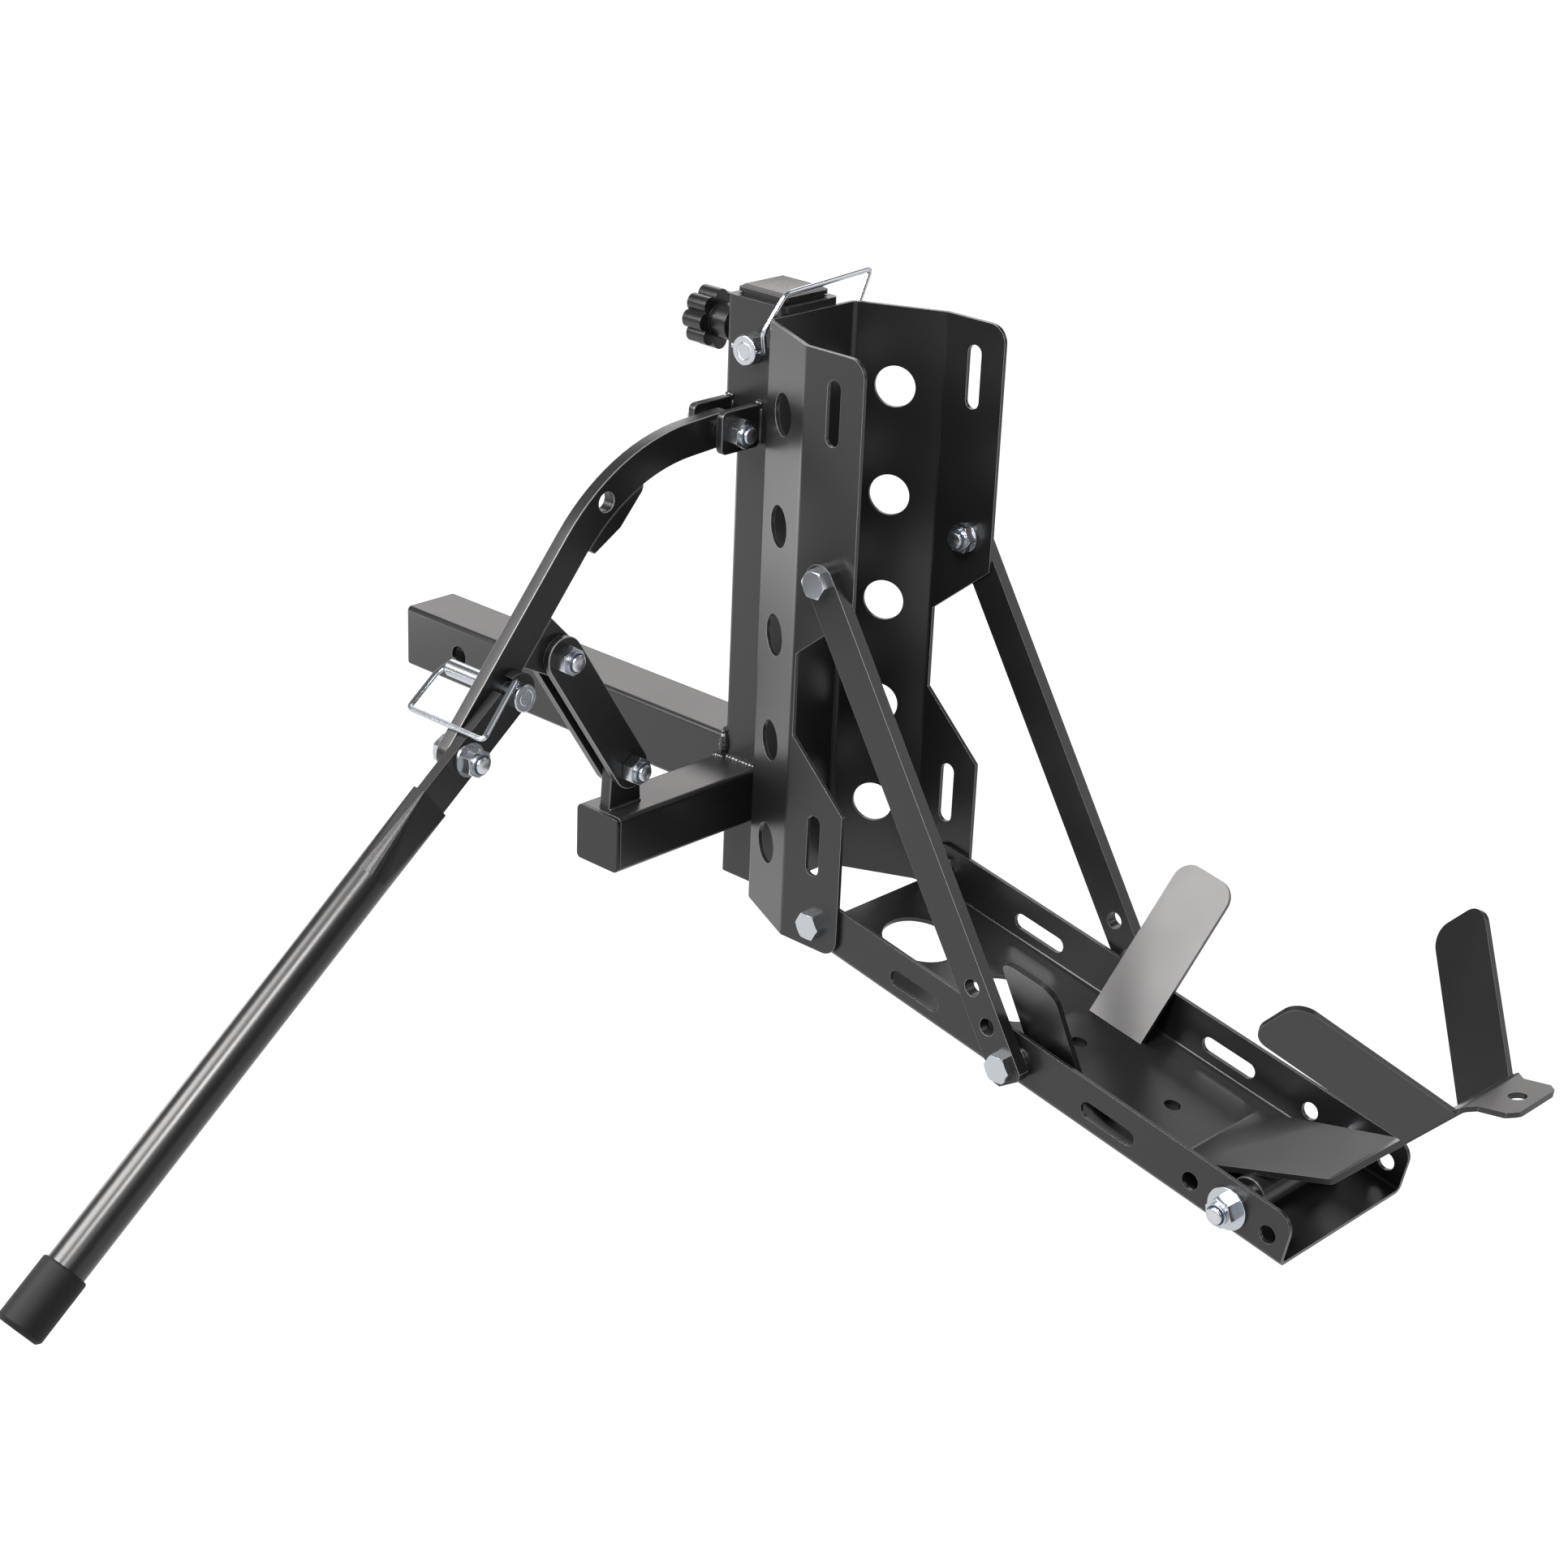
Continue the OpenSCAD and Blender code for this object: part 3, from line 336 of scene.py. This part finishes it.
for part in frame["record"]["subparts"]:
    name = part["node"]
    if name not in LEFT_SHARP:
        slot_name = part["material_slot"]
        # Coated steel gets a paler colour on its rounds: a painted highlight along the edges.
        round_highlight = pale_shear_highlight if name in SHEARED else pale_edge_highlight
        soften(nodes[name], BAR_EDGE_R if name in FLAT_BARS else EDGE_R[slot_name],
               round_highlight if slot_name == "black_coat" else None)
print("softened", len(nodes) - len(LEFT_SHARP), "nodes")

# %% [markdown]
# The added pieces, beads and turned ends, are all made as a row of rings: circles of points
# about a line, with faces between one circle and the next. A curve with a bevel could do
# some of it, but a bmesh of rings is plain to read and lets every ring have its own radius.
# Places are in millimetres from the post's middle, as in the CAD source.

# %% Ring helpers
MM = 0.001
POST_AXIS = Vector((317.0, 0.0, 0.0))


def add_ring(bm, centre, ahead, radius, count):
    """A circle of vertices about a direction, with its centre in the frame's millimetres."""
    side = ahead.orthogonal().normalized()
    other = ahead.cross(side)
    ring = []
    for k in range(count):
        turn_by = 2.0 * math.pi * k / count
        spoke = math.cos(turn_by) * side + math.sin(turn_by) * other
        ring.append(bm.verts.new((centre + radius * spoke) * MM))
    return ring


def grid_faces(bm, rings):
    """Faces between rings of vertices, with both ends closed."""
    for one, two in zip(rings, rings[1:]):
        count = len(one)
        for i in range(count):
            j = (i + 1) % count
            bm.faces.new((one[i], one[j], two[j], two[i]))
    bm.faces.new(rings[0][::-1])
    bm.faces.new(rings[-1])


def mesh_piece(name, bm, material, body):
    """A finished bmesh as a smooth-shaded object that rides on a body."""
    mesh = bpy.data.meshes.new(name)
    bmesh.ops.recalc_face_normals(bm, faces=bm.faces)
    for face in bm.faces:
        face.smooth = True
    bm.to_mesh(mesh)
    bm.free()
    mesh.materials.append(material)
    made = bpy.data.objects.new(name, mesh)
    scene.collection.objects.link(made)
    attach(made, body)


print("post's middle at x", POST_AXIS.x, "mm")

# %% [markdown]
# A weld bead is a string of overlapping puddles. It is swept here as rings along a corner,
# with a radius that swells once per puddle and tapers at both ends. A bump texture could
# hint at it, but true ripples give the light a shape to find.

# %% Weld bead
RING_POINTS = 10
PUDDLE = 3.4
BEAD_STEP = 0.85
END_SHARE = 0.35
SWELL_LOW, SWELL_BY, SWELL_POWER = 0.84, 0.2, 0.6
WAVER_BY, WAVER_RATE = 0.05, 0.71


def along(points):
    """Places at even steps along a path of points in millimetres, each with its direction."""
    spots = []
    for a, b in zip(points, points[1:]):
        a, b = Vector(a), Vector(b)
        count = max(2, round((b - a).length / BEAD_STEP))
        for i in range(count + (b == Vector(points[-1]))):
            spots.append((a.lerp(b, i / count), (b - a).normalized()))
    return spots


def weld_bead(name, points, radius, body):
    """A rippled bead along points given in millimetres from the post's middle."""
    bm = bmesh.new()
    rings = []
    spots = along(points)
    length = len(spots) * BEAD_STEP
    for i, (centre, ahead) in enumerate(spots):
        run = i * BEAD_STEP
        taper = min(1.0, END_SHARE + min(run, length - run) / (2.0 * radius))
        ripple = SWELL_BY * (1.0 - run / PUDDLE % 1.0) ** SWELL_POWER
        swell = SWELL_LOW + ripple + WAVER_BY * math.sin(run * WAVER_RATE)
        rings.append(add_ring(bm, POST_AXIS + centre, ahead, radius * taper * swell, RING_POINTS))
    grid_faces(bm, rings)
    mesh_piece(name, bm, weld_coat, body)


def circle_path(centre, radius, steps=40):
    """A closed ring of points about an axis along X."""
    x, y, z = centre
    turns = [2.0 * math.pi * i / steps for i in range(steps + 1)]
    return [(x, y + radius * math.cos(a), z + radius * math.sin(a)) for a in turns]


print("rings per puddle:", PUDDLE / BEAD_STEP)

# %% [markdown]
# The beads lie where the carrier's steel is joined: bar and arm to the post, the lug to the
# arm, and boss, channel and ears to the sleeve. A table of corners is the shortest way to
# say so, and a bead that is sunk halfway into both pieces needs no fitting.

# %% Beads on the carrier
POST_HALF = 21.5
SLEEVE_HALF = 27.5
BAR_HALF = 25.4
ARM_TOP, ARM_LOW = 6.0, -36.0
ARM_LEFT, ARM_RIGHT = -29.0, 13.0
LUG_LEFT, LUG_RIGHT = -13.0, -3.0
LUG_OUT, LUG_IN = -156.0, -126.0
EAR_LOW, EAR_HIGH, EAR_TOP = 256.0, 281.0, 284.0
EAR_FACES = (-25.0, -19.0, 3.0, 9.0)
BOSS_Z, BOSS_R = 326.0, 10.0
WEB_Y, WEB_LOW, WEB_HIGH = 26.0, 252.0, 346.0
BEAD = 2.6

# Each bead: name, path from the post's middle, radius, body
BEADS = [
    ("bar_top", [(-POST_HALF, -24.0, BAR_HALF), (-POST_HALF, 20.0, BAR_HALF)], BEAD + 1.2, "frame"),
    ("bar_near", [(-POST_HALF, -POST_HALF, 26.0), (-POST_HALF, -POST_HALF, 7.0)], BEAD + 1.9, "frame"),
    ("bar_far", [(-POST_HALF, POST_HALF, 24.0), (-POST_HALF, POST_HALF, -24.0)], BEAD + 1.0, "frame"),
    ("arm_top", [(-21.0, -POST_HALF, ARM_TOP), (12.0, -POST_HALF, ARM_TOP)], BEAD + 1.0, "frame"),
    ("arm_side", [(ARM_RIGHT, -POST_HALF, 4.0), (ARM_RIGHT, -POST_HALF, ARM_LOW + 2.0)], BEAD, "frame"),
    ("arm_bar", [(ARM_LEFT, -BAR_HALF, ARM_TOP), (-18.0, -BAR_HALF, ARM_TOP)], BEAD + 0.8, "frame"),
    ("lug_near", [(LUG_RIGHT, LUG_OUT, ARM_TOP), (LUG_RIGHT, LUG_IN, ARM_TOP)], BEAD - 0.4, "frame"),
    ("lug_far", [(LUG_LEFT, LUG_OUT, ARM_TOP), (LUG_LEFT, LUG_IN, ARM_TOP)], BEAD - 0.4, "frame"),
    ("boss", circle_path((-SLEEVE_HALF, 0.0, BOSS_Z), BOSS_R), BEAD - 0.8, "carriage"),
]
for label, y in (("web_near", -WEB_Y), ("web_far", WEB_Y)):
    BEADS.append((label, [(SLEEVE_HALF, y, z) for z in (WEB_LOW, WEB_HIGH)], BEAD, "carriage"))
for i, face in enumerate(EAR_FACES):
    BEADS.append((f"ear_{i}", [(face, -SLEEVE_HALF, z) for z in (EAR_LOW, EAR_HIGH)],
                  BEAD - 0.6, "carriage"))
for i in (0, 2):
    ends = (EAR_FACES[i] - 1.0, EAR_FACES[i + 1] + 1.0)
    BEADS.append((f"ear_top_{i}", [(x, -SLEEVE_HALF, EAR_TOP) for x in ends], BEAD, "carriage"))
for label, path, radius, body in BEADS:
    weld_bead(f"weld_{label}", path, radius, body)
print("weld beads:", len(BEADS))

# %% [markdown]
# Bolt ends stand out of their nuts, and the eye looks for thread there. Each end is lathed
# from a saw-tooth profile: crest, root, crest. True helices would differ by a hair at this
# size, so plain rings are the better bargain. The rings stay a little proud of the CAD shank.
# A lock nut also holds a nylon ring in its mouth, which is lathed in the same way.

# %% Turned profiles
LATHE_STEPS = 40
BOLT_R = 6.0
PITCH = 1.5
CREST_OUT, ROOT_IN = 0.12, 0.55
CREST_FROM, CREST_TO = 0.15, 0.4
LAST_ROOT, SHOULDER, END_R = 0.8, 0.7, 0.8 * BOLT_R


def lathe(name, profile, at, axis, material, body):
    """Turns (distance along, radius) pairs in millimetres about an axis through a point."""
    bm = bmesh.new()
    ahead = Vector(axis).normalized()
    base = Vector(at) + POST_AXIS
    rings = [add_ring(bm, base + ahead * run, ahead, radius, LATHE_STEPS) for run, radius in profile]
    grid_faces(bm, rings)
    mesh_piece(name, bm, material, body)


def thread_profile(start, end):
    """Saw-tooth rings from inside the nut to the bolt's chamfered end."""
    crest, root = BOLT_R + CREST_OUT, BOLT_R - ROOT_IN
    profile = [(start, root)]
    run = start
    while run + PITCH < end - LAST_ROOT:
        profile += [(run + CREST_FROM * PITCH, crest), (run + CREST_TO * PITCH, crest),
                    (run + PITCH, root)]
        run += PITCH
    return profile + [(end - SHOULDER, BOLT_R), (end + CREST_OUT, END_R)]


def nylon_profile(start, outer):
    """A low ring seated in the mouth of a lock nut."""
    foot, lip, crown = start - 0.4, start + 0.1, start + 0.45
    bore = BOLT_R + 0.25
    return [(foot, bore), (foot, outer), (lip, outer),
            (crown, outer - 0.5), (crown, BOLT_R + 0.6), (lip, bore)]


print("thread pitch", PITCH, "mm")

# %% [markdown]
# Eleven lock nuts hold the carrier together. Those on lever, links and handle face +X, the
# others lie across the channel and tray. Their seats follow from the CAD source's own sizes,
# and the tray's points are turned down with its slope.

# %% Lock nuts
LEVER_X = -8.0
LINK_OUT, EAR_OUT, SIDE_GAP = 11.4, 17.0, 0.4
TANG_FACE = 5.4
WASHER = 2.5
LUG_BOLT = (-141.0, 37.0)
FULCRUM = (-206.0, 136.0)
CLEVIS = (-51.0, 268.0)
LEVER_CORNER = (-149.0, 262.0)
LEVER_DROP = math.radians(50.0)
HANDLE_AT = 228.0
HANDLE = (LEVER_CORNER[0] - HANDLE_AT * math.cos(LEVER_DROP),
          LEVER_CORNER[1] - HANDLE_AT * math.sin(LEVER_DROP))
TILT = math.radians(10.9)
TRAY_PIVOT = Vector((121.0, 0.0, -65.0))
BRACE_TOP = Vector((121.0, 0.0, 194.0))


def on_tray(run, rise):
    """A point of the tray's side plane, run along it and rise above its pivot."""
    return TRAY_PIVOT + Vector((run * math.cos(TILT) + rise * math.sin(TILT), 0.0,
                                rise * math.cos(TILT) - run * math.sin(TILT)))


FOOT = on_tray(190.0, -0.5)
AXLE = on_tray(376.0, 0.0)
NUT_TOP = 1.9 * BOLT_R
COLLAR_R = 3.1 * BOLT_R * 0.42
COLLAR_WALL = 0.8
THREAD_IN, CHAMFER = 1.0, 0.9

# Each nut: name, seat, direction, bolt tip beyond the seat, body
NUTS = [
    ("lug", (LEVER_X + LINK_OUT + SIDE_GAP, *LUG_BOLT), (1, 0, 0), 13.2, "frame"),
    ("fulcrum", (LEVER_X + LINK_OUT, *FULCRUM), (1, 0, 0), 13.2, "links"),
    ("clevis", (LEVER_X + EAR_OUT, *CLEVIS), (1, 0, 0), 13.2, "carriage"),
    ("handle", (TANG_FACE + SIDE_GAP + WASHER, *HANDLE), (1, 0, 0), 12.8, "lever"),
    ("axle", (AXLE.x, -72.5, AXLE.z), (0, -1, 0), 13.2, "carriage"),
]
for label, spot, depth in (("brace_top", BRACE_TOP, 70.5), ("brace_foot", FOOT, 67.0),
                           ("tray_pivot", TRAY_PIVOT, 67.0)):
    for side, inward in (("near", 1), ("far", -1)):
        NUTS.append((f"{label}_{side}", (spot.x, -inward * depth, spot.z), (0, inward, 0), 12.0,
                     "carriage"))
for label, seat, axis, tip, body in NUTS:
    lathe(f"nylon_{label}", nylon_profile(NUT_TOP, COLLAR_R - COLLAR_WALL), seat, axis,
          nylon_ring, body)
    lathe(f"thread_{label}", thread_profile(NUT_TOP - THREAD_IN, tip + CHAMFER), seat, axis,
          thread_zinc, body)
print("lock nuts dressed:", len(NUTS))

# %% [markdown]
# The two lock pins have round heads with a turned groove. The CAD heads are hexagons, so a
# thin round face goes over each, in front of the hole that the wire bail swings in. Pairs of
# rings close together at each turn of the profile keep the smooth shading crisp there.

# %% Pin heads
PIN_HEAD = 10.0
PIN_R = 6.0
PIN_GAP = 0.3
TOP_HEAD_OUT, HANDLE_HEAD_OUT = 3.5, 2.5
TOP_PIN_Z = 322.0
PIN_AT, PIN_RISE = 55.0, math.radians(40.0)
LOCK = (HANDLE[0] + PIN_AT * math.cos(PIN_RISE), HANDLE[1] + PIN_AT * math.sin(PIN_RISE))
HEX_SHARE = math.cos(math.radians(30.0))


def pin_face(radius):
    """A rim, a flat ring, a shallow groove and the flat middle."""
    top = PIN_HEAD + 0.3
    groove = top - 0.25
    rim = [(PIN_HEAD - 2.4, radius - 0.7), (PIN_HEAD - 2.0, radius),
           (top - 0.8, radius), (top - 0.7, radius)]
    flat = [(top, radius - 0.8), (top, radius - 0.95), (top, radius * 0.64)]
    turned = [(top, radius * 0.62), (groove, radius * 0.59), (groove, radius * 0.52),
              (top, radius * 0.49)]
    return rim + flat + turned + [(top, radius * 0.46)]


lathe("pin_face_top", pin_face((PIN_R + TOP_HEAD_OUT) / HEX_SHARE),
      (0.0, -SLEEVE_HALF - PIN_GAP, TOP_PIN_Z), (0, -1, 0), zinc_plate, "carriage")
lathe("pin_face_handle", pin_face((PIN_R + HANDLE_HEAD_OUT) / HEX_SHARE),
      (TANG_FACE + PIN_GAP, *LOCK), (1, 0, 0), zinc_plate, "lever")
print("pin heads faced: 2")

# %% [markdown]
# The floor is one sheet under the lowest point, wide enough to fill the picture. It glows
# an even white, as a light table does, and is no brighter than white, so that bare zinc
# still stands out against it.

# %% Floor
WHITE = (1.0, 1.0, 1.0, 1.0)
FLOOR_GREY = (0.1, 0.1, 0.1, 1.0)
FLOOR_GLOW = 1.02
FLOOR_HALF = 14.0
FLOOR_GAP = 0.0005

low = cad_box[0][2]
corners = ((-FLOOR_HALF, -FLOOR_HALF), (FLOOR_HALF, -FLOOR_HALF),
           (FLOOR_HALF, FLOOR_HALF), (-FLOOR_HALF, FLOOR_HALF))
floor_mesh = bpy.data.meshes.new("studio_floor")
floor_mesh.from_pydata([(x, y, low - FLOOR_GAP) for x, y in corners], [], [(0, 1, 2, 3)])
floor_paint = bpy.data.materials.new("pale_floor")
floor_paint.use_nodes = True
set_inputs(floor_paint.node_tree.nodes["Principled BSDF"], {
    "Base Color": FLOOR_GREY, "Roughness": 0.8, "Specular IOR Level": 0.1,
    "Emission Color": WHITE, "Emission Strength": FLOOR_GLOW})
floor_mesh.materials.append(floor_paint)
floor = bpy.data.objects.new("studio_floor", floor_mesh)
scene.collection.objects.link(floor)
print("floor at", round(low, 4))

# %% [markdown]
# Light follows the photograph: black metal shows itself by what it mirrors. A box to the
# left of the camera gives the pale sheen on faces that look left and up, and a wide box
# behind gives the grey on level faces. Three weaker boxes stand high (the long highlight on
# the handle), behind on the right and in front on the right, where faces stay nearly black.
# A small low card on the left is what the channel's slanted wall mirrors.
# All of them are a little warm, as the greys in the photograph are.

# %% Light boxes
AIM = Vector((0.45, -0.05, 0.05))
BOX_WARMTH = (1.0, 0.98, 0.97)

# Each box: name, place, width and height, watts
BOXES = [
    ("left_box", (-0.65, -2.1, 1.65), (1.5, 1.5), 155.0),
    ("back_box", (-5.1, 6.0, 4.3), (8.5, 4.0), 285.0),
    ("high_box", (1.27, -1.92, 2.26), (0.7, 0.7), 90.0),
    ("right_box", (4.9, 5.2, 3.2), (3.5, 3.5), 65.0),
    ("left_card", (-0.62, -0.34, -0.1), (0.5, 0.2), 1.2),
    ("front_box", (2.65, -2.45, 1.45), (0.6, 0.6), 25.0),
]
for name, at, size, watts in BOXES:
    box = bpy.data.lights.new(name, "AREA")
    box.shape = "RECTANGLE"
    box.size, box.size_y = size
    box.energy = watts
    box.color = BOX_WARMTH
    lamp = bpy.data.objects.new(name, box)
    lamp.location = at
    lamp.rotation_euler = (AIM - Vector(at)).to_track_quat("-Z", "Y").to_euler()
    lamp.visible_camera = False
    scene.collection.objects.link(lamp)
print("light boxes:", len(BOXES))

# %% [markdown]
# The air gives only a dim light, but a view that looks past the floor's edge sees it white.
# Light Path tells the two apart: its camera ray picks the white one. The standard view
# transform shows white as white, where a filmic one would grey it.

# %% Air
AIR_LIGHT = 0.2

world = bpy.data.worlds.new("studio_air")
world.use_nodes = True
sky = world.node_tree
lit_by = sky.nodes["Background"]
set_inputs(lit_by, {"Color": WHITE, "Strength": AIR_LIGHT})
seen_as = add_node(sky, "ShaderNodeBackground", Color=WHITE, Strength=1.0)
chosen = sky.nodes.new("ShaderNodeMixShader")
link(sky, sky.nodes.new("ShaderNodeLightPath").outputs["Is Camera Ray"], chosen.inputs["Fac"])
link(sky, lit_by.outputs["Background"], chosen.inputs[1])
link(sky, seen_as.outputs["Background"], chosen.inputs[2])
link(sky, chosen.outputs["Shader"], sky.nodes["World Output"].inputs["Surface"])
scene.world = world
scene.view_settings.view_transform = "Standard"
print("air", world.name, "light", AIR_LIGHT)
